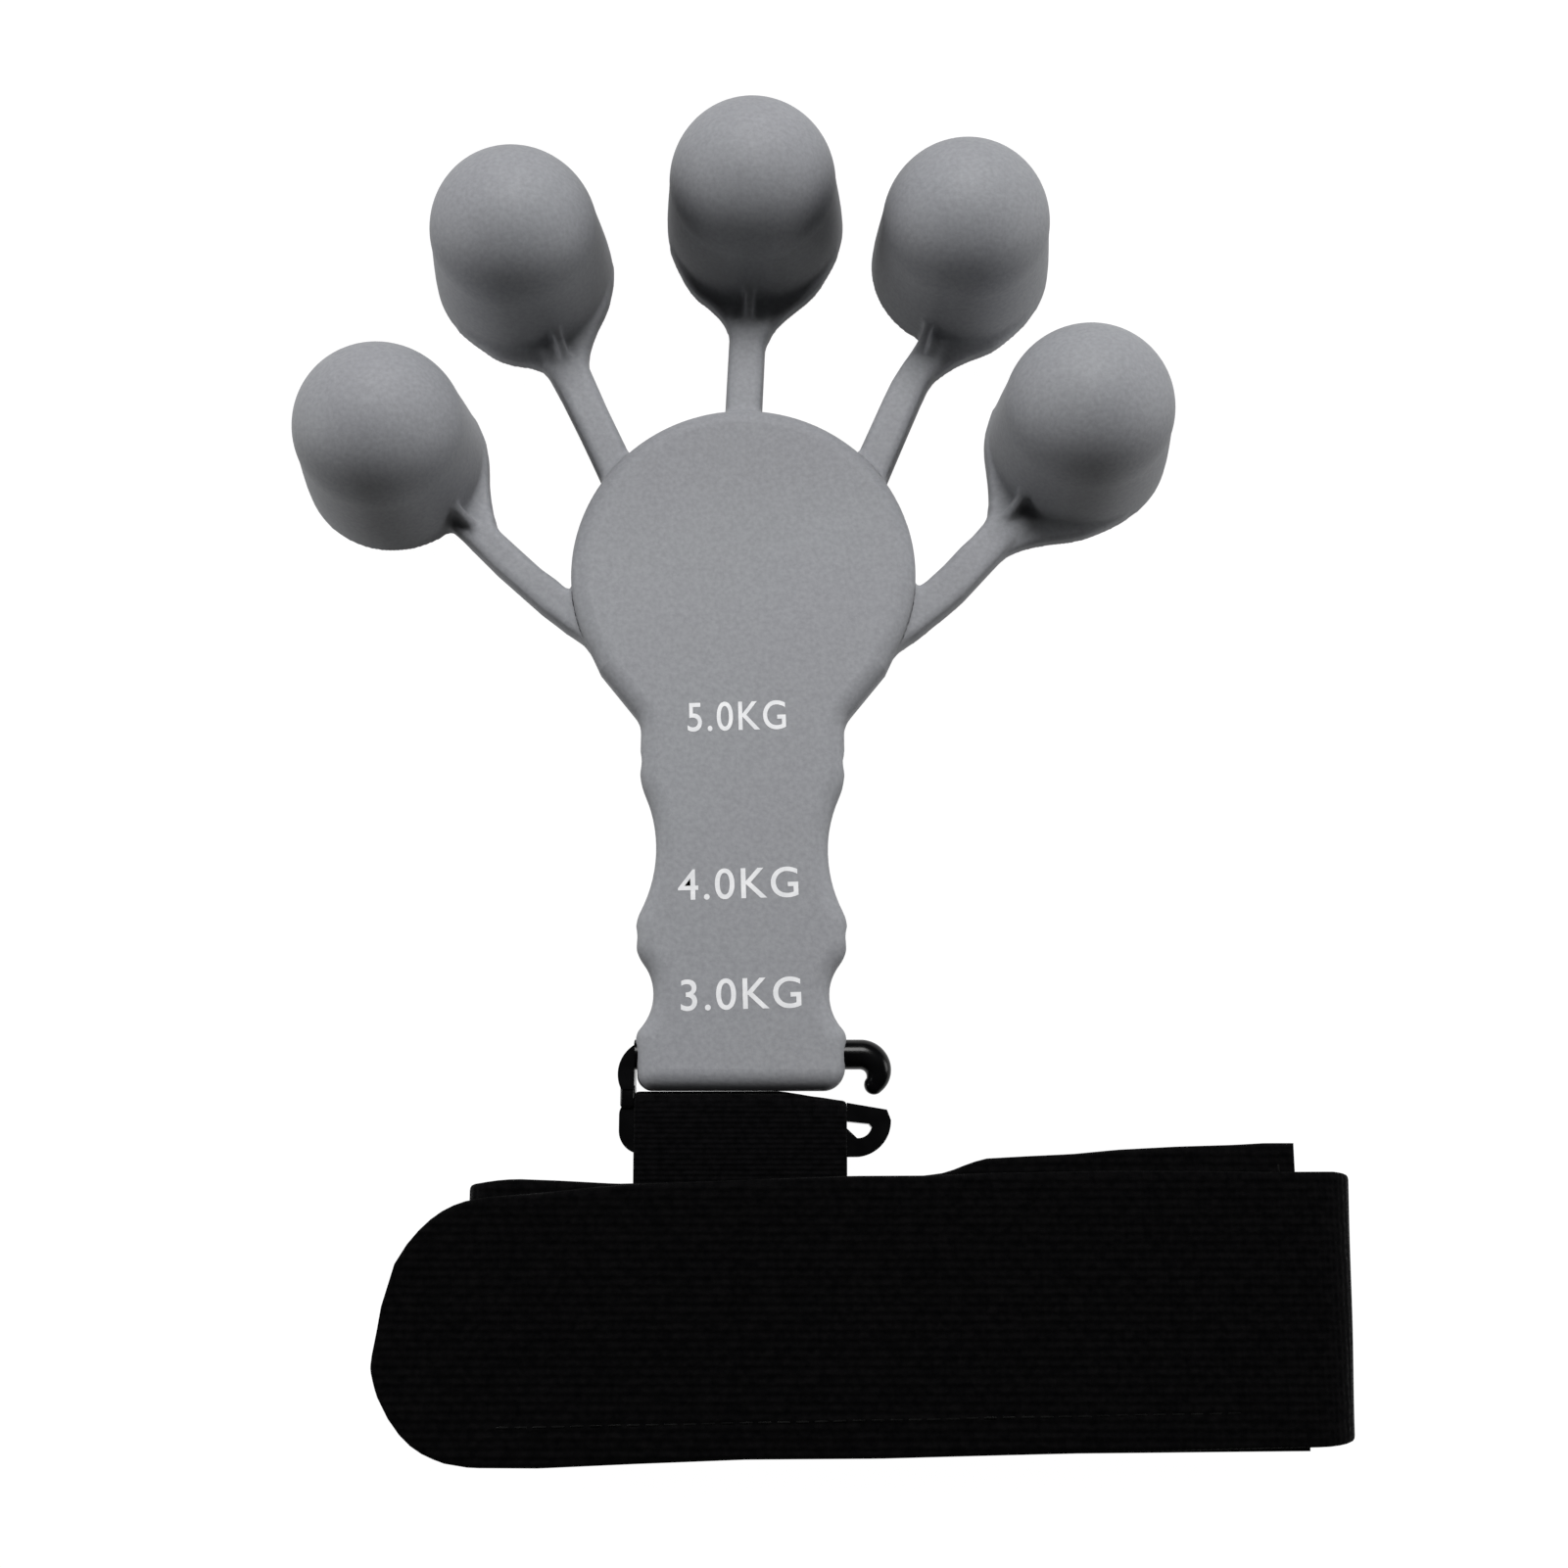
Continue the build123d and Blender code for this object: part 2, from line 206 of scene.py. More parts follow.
def add_node(m, kind, **values):
    node = m.node_tree.nodes.new(kind)
    for key, value in values.items():
        if hasattr(node, key):
            setattr(node, key, value)
        else:
            node.inputs[key.replace("_", " ")].default_value = value
    return node


def link(m, a, b):
    m.node_tree.links.new(a, b)


def speckle(m, colour, other, scale, contrast, detail=3.0):
    """Mixes two colours by a fine noise in the piece's own coordinates."""
    coords = add_node(m, "ShaderNodeTexCoord")
    noise = add_node(m, "ShaderNodeTexNoise", Scale=scale, Detail=detail)
    ramp = add_node(m, "ShaderNodeValToRGB")
    ramp.color_ramp.elements[0].position = 0.5 - contrast
    ramp.color_ramp.elements[1].position = 0.5 + contrast
    ramp.color_ramp.elements[0].color = (*other, 1)
    ramp.color_ramp.elements[1].color = (*colour, 1)
    link(m, coords.outputs["Object"], noise.inputs["Vector"])
    link(m, noise.outputs["Fac"], ramp.inputs["Fac"])
    return coords, noise, ramp


def bump(m, height, strength, distance, after=None):
    node = add_node(m, "ShaderNodeBump", Strength=strength, Distance=distance)
    link(m, height, node.inputs["Height"])
    if after is not None:
        link(m, after.outputs["Normal"], node.inputs["Normal"])
    return node


def silicone_material():
    m = material("silicone_grey", (0.27, 0.275, 0.29), 0.62)
    shader = m.node_tree.nodes["Principled BSDF"]
    coords, grain, ramp = speckle(m, (0.30, 0.307, 0.325), (0.245, 0.25, 0.267), 1500, 0.22)
    drift = add_node(m, "ShaderNodeTexNoise", Scale=45, Detail=2.0)
    link(m, coords.outputs["Object"], drift.inputs["Vector"])
    mix = add_node(m, "ShaderNodeMix", data_type="RGBA", blend_type="MULTIPLY")
    mix.inputs["Factor"].default_value = 0.02
    link(m, ramp.outputs["Color"], mix.inputs["A"])
    link(m, drift.outputs["Color"], mix.inputs["B"])
    link(m, mix.outputs["Result"], shader.inputs["Base Color"])
    rough = add_node(m, "ShaderNodeMapRange", To_Min=0.55, To_Max=0.72)
    link(m, drift.outputs["Fac"], rough.inputs["Value"])
    link(m, rough.outputs["Result"], shader.inputs["Roughness"])
    shader.inputs["Specular IOR Level"].default_value = 0.35
    shader.inputs["Sheen Weight"].default_value = 0.05
    link(m, bump(m, grain.outputs["Fac"], 0.25, 0.00012).outputs["Normal"], shader.inputs["Normal"])
    return m


def plastic_material():
    m = material("clasp_black", (0.002, 0.002, 0.002), 0.2)
    shader = m.node_tree.nodes["Principled BSDF"]
    _, noise, ramp = speckle(m, (0.0035, 0.0035, 0.0038), (0.0015, 0.0015, 0.0017), 300, 0.3)
    link(m, ramp.outputs["Color"], shader.inputs["Base Color"])
    rough = add_node(m, "ShaderNodeMapRange", To_Min=0.14, To_Max=0.28)
    link(m, noise.outputs["Fac"], rough.inputs["Value"])
    link(m, rough.outputs["Result"], shader.inputs["Roughness"])
    shader.inputs["Specular IOR Level"].default_value = 0.14
    link(m, bump(m, noise.outputs["Fac"], 0.12, 0.0002).outputs["Normal"], shader.inputs["Normal"])
    return m


def fabric_material(name, base, lighter, rib_scale, rib_axis):
    """Black knitted strap: fine ribs along it, crossed by a smaller weave, with a little fuzz."""
    m = material(name, base, 0.92)
    shader = m.node_tree.nodes["Principled BSDF"]
    coords, fuzz, ramp = speckle(m, lighter, base, 900, 0.2)
    ribs = add_node(m, "ShaderNodeTexWave", bands_direction=rib_axis, Scale=rib_scale, Distortion=1.2)
    ribs.inputs["Detail"].default_value = 2.0
    ribs.inputs["Detail Scale"].default_value = 3.0
    cross = add_node(m, "ShaderNodeTexWave", bands_direction="X", Scale=rib_scale * 1.4, Distortion=2.0)
    link(m, coords.outputs["Object"], ribs.inputs["Vector"])
    link(m, coords.outputs["Object"], cross.inputs["Vector"])
    link(m, ramp.outputs["Color"], shader.inputs["Base Color"])
    shader.inputs["Specular IOR Level"].default_value = 0.02
    shader.inputs["Sheen Weight"].default_value = 0.04
    shader.inputs["Sheen Roughness"].default_value = 0.35
    first = bump(m, ribs.outputs["Fac"], 0.5, 0.0003)
    second = bump(m, cross.outputs["Fac"], 0.35, 0.0002, first)
    third = bump(m, fuzz.outputs["Fac"], 0.5, 0.0003, second)
    link(m, third.outputs["Normal"], shader.inputs["Normal"])
    return m


def print_material():
    m = material("print_white", (0.8, 0.8, 0.8), 0.5)
    shader = m.node_tree.nodes["Principled BSDF"]
    _, _, ramp = speckle(m, (0.86, 0.86, 0.87), (0.70, 0.71, 0.73), 700, 0.25)
    link(m, ramp.outputs["Color"], shader.inputs["Base Color"])
    return m


SILICONE = silicone_material()
PLASTIC = plastic_material()
STRAP = fabric_material("strap_black", (0.0012, 0.0012, 0.0014), (0.0034, 0.0032, 0.0034), 260, "Y")
WEBBING = fabric_material("webbing_black", (0.0014, 0.0014, 0.0016), (0.0038, 0.0036, 0.0040), 420, "Y")
TAPE = fabric_material("hook_tape_black", (0.003, 0.003, 0.003), (0.007, 0.007, 0.008), 400, "Y")
THREAD = fabric_material("thread_black", (0.004, 0.004, 0.004), (0.008, 0.008, 0.008), 900, "Y")
PRINT = print_material()


def paint(obj, m):
    obj.data.materials.clear()
    obj.data.materials.append(m)


# ---------------------------------------------------------------- mesh helpers
def new_object(name, mesh, m):
    obj = bpy.data.objects.new(name, mesh)
    bpy.context.scene.collection.objects.link(obj)
    paint(obj, m)
    for polygon in mesh.polygons:
        polygon.use_smooth = True
    return obj


def mesh_from(name, verts, faces):
    mesh = bpy.data.meshes.new(name)
    mesh.from_pydata([tuple(v) for v in verts], [], [tuple(int(i) for i in f) for f in faces])
    mesh.update()
    return mesh


def soft_min(a, b, k):
    h = np.clip(0.5 + 0.5 * (b - a) / k, 0, 1)
    return b * (1 - h) + a * h - k * h * (1 - h)


def soft_max(a, b, k):
    return -soft_min(-a, -b, k)


def skin(field, low, shape):
    """A closed quad mesh of the field's zero surface, with its normals outward, as a bmesh in mm."""
    grid = openvdb.FloatGrid()
    grid.background = FIELD_LIMIT
    held = np.clip(field, -FIELD_LIMIT, FIELD_LIMIT)
    grid.copyFromArray(held.astype(np.float32).reshape(shape))
    grid.transform = openvdb.createLinearTransform(voxelSize=VOXEL)
    points, quads = grid.convertToQuads(isovalue=0.0)
    bm = bmesh.new()
    verts = [bm.verts.new(Vector(p) + Vector(low)) for p in points.tolist()]
    for q in quads.tolist():
        if len(set(q)) == 4:
            bm.faces.new([verts[i] for i in q])
    bmesh.ops.recalc_face_normals(bm, faces=bm.faces)
    return bm


# ---------------------------------------------------------------- fingers
def pad_field(x, y, z, centre, radius_change):
    """The palm disc as a rounded cylinder about centre."""
    rho = np.hypot(x - centre[0], y - centre[1]) - (PAD_R - PAD_ROUND)
    rise = np.abs(z - PAD_H / 2) - (PAD_H / 2 - PAD_ROUND)
    outside = np.hypot(np.maximum(rho, 0), np.maximum(rise, 0))
    return outside + np.minimum(np.maximum(rho, rise), 0) - PAD_ROUND - radius_change


def finger_field(x, y, z, reach, pad_centre, shape):
    """One finger in its own frame: the pivot at the origin, the cup's centre at x = reach."""
    u = x - reach
    rho = np.hypot(u, y)
    rim_y = y - shape["rim_shift"] * np.clip(1 - z / DOME_Z, 0, 1)
    crown = np.hypot(rho, z - DOME_Z)
    outer = np.where(z < DOME_Z, np.hypot(u, rim_y) - np.interp(z, SKIRT_Z, SKIRT_R), crown - DOME_R)
    inner = np.where(z < DOME_Z, rho - BORE_R, crown - BORE_R)
    left = np.interp(u, *shape["left"])
    right = np.interp(u, *shape["right"])
    sides = np.maximum(y - left, -y - right)
    slender = np.maximum(y - np.minimum(left, ARM_HALF + 0.6), -y - np.minimum(right, ARM_HALF + 0.6))
    strip_top = np.interp(u, [-20.0, -15.5], [ARM_H, FAN_H + 0.2])
    strip = soft_max(slender, z - strip_top, STRIP_SOFT)
    strip = np.maximum(strip, u - STRIP_END)
    fan = soft_max(sides * 0.85, z - FAN_H, FAN_SOFT)
    fan = np.maximum(fan, u - FAN_END)
    web = soft_min(strip, fan, WEB_SOFT)
    run, rise = RIB_HEAD[0] - RIB_FOOT[0], RIB_HEAD[1] - RIB_FOOT[1]
    slope = ((z - RIB_FOOT[1]) * run - (u - RIB_FOOT[0]) * rise) / hypot(run, rise)
    rib = np.maximum(np.maximum(np.abs(y) - RIB_HALF, slope), u - RIB_END)
    solid = soft_min(soft_min(outer, web, ROOT_SOFT), rib, RIB_SOFT)
    solid = soft_max(solid, -inner, LIP_SOFT)
    pad = pad_field(x, y, z, pad_centre, -SKIRT_INSET)
    return soft_max(soft_min(solid, pad, PAD_SOFT), -z, FOOT_SOFT)


def split_skin(bm, name, low_x, high_x):
    """The part of the skin between two planes across the finger, as a mesh in mm."""
    part = bm.copy()
    for x, side in ((low_x, -1), (high_x, 1)):
        if x is not None:
            bmesh.ops.bisect_plane(
                part,
                geom=part.verts[:] + part.edges[:] + part.faces[:],
                plane_co=(x, 0, 0),
                plane_no=(side, 0, 0),
                clear_outer=True,
            )
    mesh = bpy.data.meshes.new(name)
    part.to_mesh(mesh)
    part.free()
    return mesh


def finger_frame(name):
    """The finger's pivot, its heading in degrees and its reach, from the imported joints."""
    joints = {j["name"]: j for j in frame["joints"]}
    pivot = Vector(joints["splay_" + name]["pos_m"]) / MM
    axis = joints["stretch_" + name]["axis"]
    heading = atan2(axis[1], axis[0])
    far = max(
        (Vector((v.co.x, v.co.y, 0)) / MM - pivot).dot(Vector(axis))
        for v in frame["nodes"]["cup_" + name].data.vertices
    )
    return pivot, heading, far - CAD_RIM_R


def make_finger(name):
    pivot, heading, reach = finger_frame(name)
    to_frame = Matrix.Diagonal((MM, MM, MM, 1)) @ Matrix.Translation((pivot.x, pivot.y, 0))
    to_frame = to_frame @ Matrix.Rotation(heading, 4, "Z")
    pad_centre = Matrix.Rotation(-heading, 2) @ Vector((-pivot.x, -pivot.y))
    low = np.array(GRID_LOW)
    high = np.array([reach + GRID_PAST_CUP, GRID_HALF_W, GRID_TOP])
    counts = np.ceil((high - low) / VOXEL).astype(int)
    axes = [low[i] + VOXEL * np.arange(counts[i]) for i in range(3)]
    x, y, z = np.meshgrid(*axes, indexing="ij")
    bm = skin(finger_field(x, y, z, reach, pad_centre, FINGERS[name]), low, counts)
    co = np.array([v.co for v in bm.verts])
    depth = pad_field(*co.T, pad_centre, 0)
    bm.verts.ensure_lookup_table()
    hidden = [bm.verts[i] for i in np.nonzero(depth < -PAD_HIDE)[0]]
    bmesh.ops.delete(bm, geom=hidden, context="VERTS")

    def at(along):
        return to_frame @ Vector((along, 0, ARM_H / 2))

    spans = [
        ("root", None, CUT_ROOT, "palm", "root_" + name, -1.4, 2.9, "arm_root_" + name),
        ("arm", CUT_ROOT, CUT_ARM, "root_" + name, "arm_" + name, 3.9, 10.0, "arm_" + name),
        ("cup", CUT_ARM, None, "arm_" + name, "cup_" + name, 10.4, reach - 16.0, "cup_" + name),
    ]
    for label, low_x, high_x, body_a, body_b, start, end, node in spans:
        mesh = split_skin(bm, f"skin_{label}_{name}", low_x, high_x)
        mesh.transform(to_frame)
        piece = new_object(f"skin_{label}_{name}", mesh, SILICONE)
        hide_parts(node)
        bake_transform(piece)
    bm.free()


for finger in FINGERS:
    make_finger(finger)

# ---------------------------------------------------------------- pad, clasp and marks
paint(frame["nodes"]["palm_body"], SILICONE)
for node in ("clasp_hook", "clasp_link"):
    paint(frame["nodes"][node], PLASTIC)


def rounded_block(name, low, high, radius, m):
    """A block with rounded edges, between two corners in mm."""
    bm = bmesh.new()
    bmesh.ops.create_cube(bm, size=1)
    for v in bm.verts:
        v.co = Vector([low[i] if v.co[i] < 0 else high[i] for i in range(3)]) * MM
    bmesh.ops.bevel(bm, geom=bm.edges[:], offset=radius * MM, segments=4, profile=0.5, affect="EDGES")
    mesh = bpy.data.meshes.new(name)
    bm.to_mesh(mesh)
    bm.free()
    return new_object(name, mesh, m)


web = rounded_block(
    "clasp_hinge", (-17.65, -82.2, 1.95), (-15.5, -78.6, 5.85), 0.5, PLASTIC
)
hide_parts("clasp_web")
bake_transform(web)


def make_mark(words, left, right, foot, head):
    curve = bpy.data.curves.new("mark_" + words[0], "FONT")
    curve.body = words
    curve.space_character = MARK_SPACING
    curve.offset = MARK_BOLDER
    text = bpy.data.objects.new("mark_source", curve)
    bpy.context.scene.collection.objects.link(text)
    bpy.context.view_layer.update()
    shaped = text.evaluated_get(bpy.context.evaluated_depsgraph_get())
    mesh = bpy.data.meshes.new_from_object(shaped)
    bpy.data.objects.remove(text)
    bm = bmesh.new()
    bm.from_mesh(mesh)
    spans = [(min(v.co[i] for v in bm.verts), max(v.co[i] for v in bm.verts)) for i in range(2)]
    middle = Vector(((left + right) / 2, (foot + head) / 2, PAD_H + MARK_RISE))
    turn = Matrix.Rotation(radians(MARK_TURN_DEG), 3, "Z")
    for v in bm.verts:
        across = (v.co.x - spans[0][0]) / (spans[0][1] - spans[0][0]) - 0.5
        up = (v.co.y - spans[1][0]) / (spans[1][1] - spans[1][0]) - 0.5
        v.co = (middle + turn @ Vector(((right - left) * across, (head - foot) * up, 0))) * MM
    bm.to_mesh(mesh)
    bm.free()
    mark = new_object("mark_" + words[0], mesh, PRINT)
    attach(mark, "palm")


for mark in MARKS:
    make_mark(*mark)


# ---------------------------------------------------------------- cloth
def edge_round(distance, half_t, reach_in):
    """Half the cloth's thickness at a distance in from its cut edge."""
    t = np.clip(distance / reach_in, 0, 1)
    return half_t * (0.25 + 0.75 * np.sqrt(1 - (1 - t) ** 2))


def cloth(name, centre, normal, half, m):
    """A thick sheet from a grid of centre points, their normals and half-thicknesses, all in mm."""
    rows, cols = half.shape
    front = (centre + normal * half[..., None]).reshape(-1, 3)
    back = (centre - normal * half[..., None]).reshape(-1, 3)
    count = rows * cols

    def at(i, j):
        return i * cols + j

    faces = []
    for i in range(rows - 1):
        for j in range(cols - 1):
            quad = [at(i, j), at(i + 1, j), at(i + 1, j + 1), at(i, j + 1)]
            faces.append(quad)
            faces.append([k + count for k in reversed(quad)])
    border = [at(0, j) for j in range(cols)] + [at(i, cols - 1) for i in range(1, rows)]
    border += [at(rows - 1, j) for j in range(cols - 2, -1, -1)]
    border += [at(i, 0) for i in range(rows - 2, 0, -1)]
    for k, here in enumerate(border):
        after = border[(k + 1) % len(border)]
        faces.append([here, after, after + count, here + count])
    mesh = mesh_from(name, np.vstack([front, back]) * MM, faces)
    bm = bmesh.new()
    bm.from_mesh(mesh)
    bmesh.ops.recalc_face_normals(bm, faces=bm.faces)
    bm.to_mesh(mesh)
    bm.free()
    return new_object(name, mesh, m)


def stations(length, step):
    """Places along a length, closer together at its two ends."""
    count = max(4, int(length / step))
    inside = np.linspace(1.2, length - 1.2, count)
    ends = np.array([0, 0.2, 0.5, 0.8])
    return np.concatenate([ends, inside, length - ends[::-1]])


def walk(points, step):
    """Points along a polyline in a plane, with their normals, their stations and its length."""
    points = np.array(points, float)
    runs = np.hypot(*np.diff(points, axis=0).T)
    at = np.concatenate([[0], np.cumsum(runs)])
    s = stations(at[-1], step)
    p = np.c_[np.interp(s, at, points[:, 0]), np.interp(s, at, points[:, 1])]
    t = np.gradient(p, s, axis=0)
    for _ in range(3):
        t[1:-1] = (t[:-2] + 2 * t[1:-1] + t[2:]) / 4
    t /= np.hypot(*t.T)[:, None]
    return p, np.c_[-t[:, 1], t[:, 0]], s, at[-1]


def ripple(a, b, seed):
    """A gentle unevenness over the cloth, about 1 at its largest."""
    rng = np.random.default_rng(seed)
    total = np.zeros(np.broadcast(a, b).shape)
    for _ in range(6):
        ka, kb, phase = rng.uniform(0.05, 0.35), rng.uniform(0.05, 0.4), rng.uniform(0, 2 * pi)
        total = total + np.sin(a * ka + b * kb + phase)
    return total / 4


def half_turn(centre_x, mid_z, radius, side, going_up):
    """Points round a fold, from its lower layer to its upper one or back."""
    angles = np.radians(np.linspace(-90, 90, 25))
    if not going_up:
        angles = angles[::-1]
    return [(centre_x + side * radius * cos(a), mid_z + radius * sin(a)) for a in angles]


def strap_piece(name, path, top_at, foot_at, ends_free, wave, lean_at=None):
    """A length of strap: its path runs in x and z, and its upper and lower edges are given in plan."""
    p, n, s, length = walk(path, 1.6)
    near_edge = np.array([0, 0.006, 0.014, 0.025])
    far_edge = [0.975, 0.986, 0.994, 1]
    across = np.unique(np.concatenate([near_edge, np.linspace(0.05, 0.95, 24), far_edge]))
    top = top_at(p[:, 0], s / length)
    foot = foot_at(p[:, 0], s / length)
    y = top[:, None] + (foot - top)[:, None] * across[None, :]
    x = np.repeat(p[:, :1], len(across), axis=1)
    z = np.repeat(p[:, 1:], len(across), axis=1)
    if lean_at is not None:
        x = x + lean_at(x, y)
    swell = ripple(s[:, None], y, wave) * SWELL
    centre = np.dstack([x + n[:, :1] * swell, y, z + n[:, 1:] * swell])
    normal_x = np.repeat(n[:, :1], len(across), axis=1)
    normal_z = np.repeat(n[:, 1:], len(across), axis=1)
    normal = np.dstack([normal_x, np.zeros_like(y), normal_z])
    inset = np.minimum(y.max(axis=1)[:, None] - y, y - y.min(axis=1)[:, None])
    if ends_free[0]:
        inset = np.minimum(inset, s[:, None])
    if ends_free[1]:
        inset = np.minimum(inset, length - s[:, None])
    half = edge_round(inset, STRAP_T / 2, EDGE_ROUND)
    return cloth(name, centre, normal, half, STRAP), length


LEFT_MID, LEFT_BEND_R = (INNER_MID + BACK_MID) / 2, (INNER_MID - BACK_MID) / 2
RIGHT_MID, RIGHT_BEND_R = (FLAP_MID + BACK_MID) / 2, (FLAP_MID - BACK_MID) / 2


def band_top(x, along):
    blend = np.clip((along - 0.47) / 0.05, 0, 1)
    return np.interp(x, *INNER_TOP) * (1 - blend) + np.interp(x, *BACK_TOP) * blend


def band_foot(x, along):
    """One lower edge for both of the band's layers, so the inner one is wider at its right end."""
    return np.interp(x, *BACK_TOP) - STRAP_W + BACK_INSET


def flap_top(x, along):
    return np.interp(x, *FLAP_TOP)


def flap_foot(x, along):
    return np.interp(x, *FLAP_FOOT)


def right_lean(x, y):
    return np.clip((x - 60) / 20, 0, 1) * (y + 110) * RIGHT_LEAN


band_path = [(FREE_END_X, INNER_MID), (LEFT_BEND_X, INNER_MID)]
band_path += half_turn(LEFT_BEND_X, LEFT_MID, LEFT_BEND_R, -1, False)[1:]
band_path += [(JOIN_X, BACK_MID)]
band, band_length = strap_piece("strap_band", band_path, band_top, band_foot, (True, False), 11)
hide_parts("strap_inner", "strap_back", "strap_fold_left")
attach(band, "strap")

flap_path = [(JOIN_X - 0.6, BACK_MID), (RIGHT_BEND_X, BACK_MID)]
flap_path += half_turn(RIGHT_BEND_X, RIGHT_MID, RIGHT_BEND_R, 1, True)[1:]
flap_path += [(FLAP_TOP[0][0] + 0.05, FLAP_MID)]
flap, flap_length = strap_piece(
    "strap_flap_cloth", flap_path, flap_top, flap_foot, (False, True), 23, right_lean
)
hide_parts("strap_flap", "strap_fold_right")
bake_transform(flap)


def tab_path(x):
    """The webbing's path round the link at one place across it, in y and z."""
    top = np.interp(x, BAR_TOP_X, BAR_TOP_Y)
    gap = BAR_HALF_T + TAB_SLACK + TAB_T / 2
    low, high = MID_Z - gap, MID_Z + gap
    angles = np.radians(np.linspace(-90, 90, 13))
    turn = [(top + TAB_SLACK + TAB_T / 2 - gap + gap * cos(a), MID_Z + gap * sin(a)) for a in angles]
    under = [
        (TAIL_Y, TAIL_Z[0]),
        (-93.2, TAIL_Z[0]),
        (-92.0, TAIL_Z[0] - 0.3),
        (-90.6, low + 1.0),
        (-89.3, low + 0.2),
        (-88.0, low),
    ]
    over = [
        (-88.3, high),
        (-90.0, high - 0.03),
        (-92.0, TAIL_Z[1] + 0.1),
        (-93.2, TAIL_Z[1]),
        (TAIL_Y, TAIL_Z[1]),
    ]
    return under + turn + over


def make_tab():
    width = TAB_X[1] - TAB_X[0]
    near_edge = np.array([0, 0.12, 0.3, 0.6])
    inside = np.linspace(1, width - 1, TAB_ACROSS)
    xs = TAB_X[0] + np.unique(np.concatenate([near_edge, inside, width - near_edge[::-1]]))
    columns = [walk(tab_path(x), TAB_LENGTHWAYS) for x in xs]
    rows = min(len(c[2]) for c in columns)
    centre = np.zeros((rows, len(xs), 3))
    normal = np.zeros((rows, len(xs), 3))
    for j, (x, (p, n, s, length)) in enumerate(zip(xs, columns)):
        pick = np.linspace(0, 1, rows)
        own = s / length
        for k in range(2):
            centre[:, j, k + 1] = np.interp(pick, own, p[:, k])
            normal[:, j, k + 1] = np.interp(pick, own, n[:, k])
        centre[:, j, 0] = x
    inset = np.minimum(xs - TAB_X[0], TAB_X[1] - xs)
    half = np.repeat(edge_round(inset, TAB_T / 2, TAB_EDGE_ROUND)[None, :], rows, axis=0)
    length = float(np.mean([c[3] for c in columns]))
    return cloth("webbing_tab", centre, normal, half, WEBBING), length


tab, tab_length = make_tab()
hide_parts("tab_loop", "tab_neck", "tab_tail")
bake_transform(tab)


# ---------------------------------------------------------------- stitches and hook tape
def capsules(name, ends, radius, m):
    """Short stitches, each a small rounded thread between two points in mm."""
    verts, faces = [], []
    for a, b in ends:
        a, b = Vector(a), Vector(b)
        axis = (b - a).normalized()
        side = axis.orthogonal().normalized()
        other = axis.cross(side)
        base = len(verts)
        tip = axis * radius * 0.7
        rings = [(a - tip, 0.35), (a, 1.0), ((a + b) / 2, 1.15), (b, 1.0), (b + tip, 0.35)]
        for centre, scale in rings:
            for k in range(THREAD_SIDES):
                angle = 2 * pi * k / THREAD_SIDES
                verts.append((centre + (side * cos(angle) + other * sin(angle)) * radius * scale) * MM)
        for ring in range(len(rings) - 1):
            here = base + ring * THREAD_SIDES
            after = here + THREAD_SIDES
            for k in range(THREAD_SIDES):
                k2 = (k + 1) % THREAD_SIDES
                faces.append([here + k, here + k2, after + k2, after + k])
        last = base + (len(rings) - 1) * THREAD_SIDES
        faces.append([base + k for k in reversed(range(THREAD_SIDES))])
        faces.append([last + k for k in range(THREAD_SIDES)])
    return new_object(name, mesh_from(name, verts, faces), m)


def stitch_row(start, end, pitch, z_at):
    """The two ends of each stitch along a straight row at one height."""
    start, end = Vector(start), Vector(end)
    run = (end - start).length
    count = int(run / pitch)
    row = []
    for k in range(count):
        a = start.lerp(end, (k + 0.5 - STITCH_SHARE / 2) / count)
        b = start.lerp(end, (k + 0.5 + STITCH_SHARE / 2) / count)
        row.append(((a.x, a.y, z_at), (b.x, b.y, z_at)))
    return row


FLAP_FACE, INNER_FACE = FLAP_MID + STRAP_T / 2, INNER_MID + STRAP_T / 2
long_row = stitch_row((-34, -126.2), (70, -124.2), FLAP_PITCH, FLAP_FACE)
flap_stitches = capsules("flap_stitches", long_row, FLAP_THREAD_R, THREAD)
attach(flap_stitches, "flap")
hem_rows = stitch_row((77.4, -90.0), (77.4, -122.5), HEM_PITCH, INNER_FACE)
hem_rows += stitch_row((-14, -97.6), (14.4, -96.6), HEM_PITCH, INNER_FACE)
band_stitches = capsules("band_stitches", hem_rows, HEM_THREAD_R, THREAD)
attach(band_stitches, "strap")


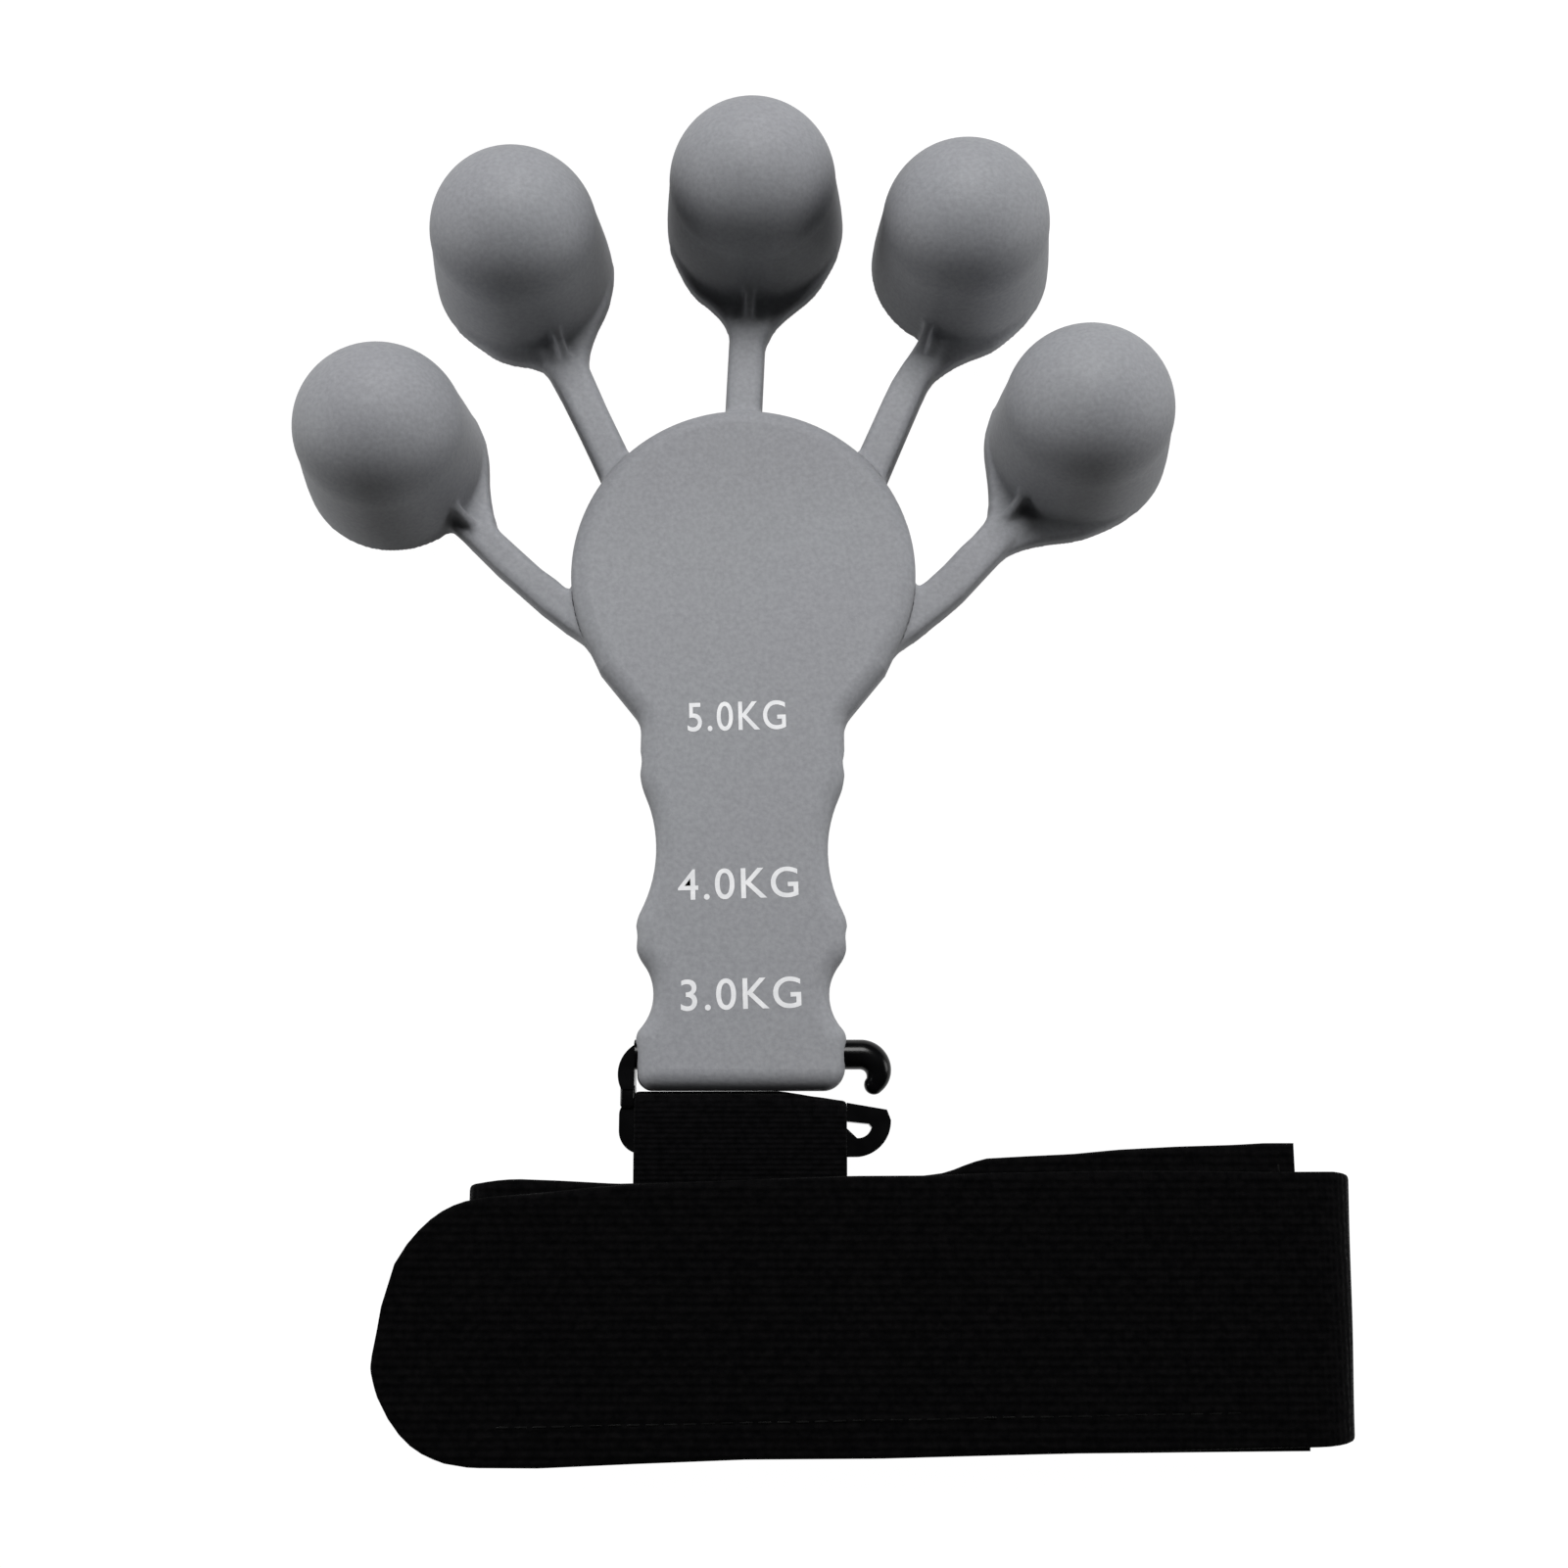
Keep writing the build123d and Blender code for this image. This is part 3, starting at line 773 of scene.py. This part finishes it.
def make_hook_tape():
    """A patch of moulded hooks under the flap's rounded end."""
    low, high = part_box("hook_tape")
    low, high = low / MM, high / MM
    plate_low = (low.x, low.y, high.z - 0.3)
    plate_high = (high.x, high.y, high.z + 0.2)
    plate = rounded_block("hook_tape_plate", plate_low, plate_high, 0.12, TAPE)
    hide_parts("hook_tape")
    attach(plate, "flap")
    verts, faces = [], []
    for i in range(int((high.x - low.x - 1.2) / HOOK_PITCH)):
        for j in range(int((high.y - low.y - 1.2) / HOOK_PITCH)):
            x = low.x + HOOK_MARGIN + HOOK_PITCH * i
            y = low.y + HOOK_MARGIN + HOOK_PITCH * j
            base = len(verts)
            lean = HOOK_LEAN if (i + j) % 2 else -HOOK_LEAN
            for height, size, shift in ((0.3, 0.13, 0.0), (0.52, 0.10, lean * 0.3), (0.66, 0.09, lean)):
                for dx, dy in ((-1, -1), (1, -1), (1, 1), (-1, 1)):
                    verts.append(Vector((x + dx * size + shift, y + dy * size, high.z - height)) * MM)
            for here in (base, base + 4):
                for k in range(4):
                    k2 = (k + 1) % 4
                    faces.append([here + k, here + k2, here + 4 + k2, here + 4 + k])
            faces.append([base + 8, base + 9, base + 10, base + 11])
            faces.append([base + 3, base + 2, base + 1, base])
    hooks = new_object("hook_tape_hooks", mesh_from("hook_tape_hooks", verts, faces), TAPE)
    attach(hooks, "flap")


make_hook_tape()

# ---------------------------------------------------------------- camera, light and floor
FRAME_PX = 1601
FOCAL_PX = 1968.6
LOOK_AT = Vector((6.33, -32.47, 0)) * MM
TILT = radians(12.4)
CAMERA_H = 291 * MM
LIGHT_TARGET = Vector((0, -0.02, 0.01))

camera = bpy.data.objects.new("camera", bpy.data.cameras.new("camera"))
bpy.context.scene.collection.objects.link(camera)
camera.data.sensor_width = 36
camera.data.lens = 36 * FOCAL_PX / FRAME_PX
camera.data.clip_start = 0.01
camera.location = LOOK_AT + Vector((0, -CAMERA_H * sin(TILT) / cos(TILT), CAMERA_H))
camera.rotation_euler = (TILT, 0, 0)
bpy.context.scene.camera = camera


def area_light(name, place, size, power):
    lamp = bpy.data.objects.new(name, bpy.data.lights.new(name, "AREA"))
    bpy.context.scene.collection.objects.link(lamp)
    lamp.data.shape = "DISK"
    lamp.data.size = size
    lamp.data.energy = power
    lamp.location = place
    lamp.rotation_euler = (LIGHT_TARGET - Vector(place)).to_track_quat("-Z", "Y").to_euler()


area_light("key", (0.03, 0.54, 0.80), 0.45, 10.0)
area_light("side_left", (-0.75, 0.02, 0.16), 0.35, 2.0)
area_light("side_right", (0.75, 0.02, 0.16), 0.35, 2.0)

world = bpy.data.worlds.new("studio")
bpy.context.scene.world = world
world.use_nodes = True
world.node_tree.nodes["Background"].inputs["Color"].default_value = (1, 1, 1, 1)
world.node_tree.nodes["Background"].inputs["Strength"].default_value = 0.02

bpy.ops.mesh.primitive_plane_add(size=4)
floor = bpy.context.active_object
floor.name = "floor"
floor_material = material("floor_white", (0.02, 0.02, 0.02), 1.0)
floor_shader = floor_material.node_tree.nodes["Principled BSDF"]
floor_shader.inputs["Emission Color"].default_value = (1, 1, 1, 1)
floor_shader.inputs["Emission Strength"].default_value = 1.0
paint(floor, floor_material)
floor.location.z = -0.0002
floor.visible_diffuse = False

bpy.context.scene.view_settings.view_transform = "Standard"
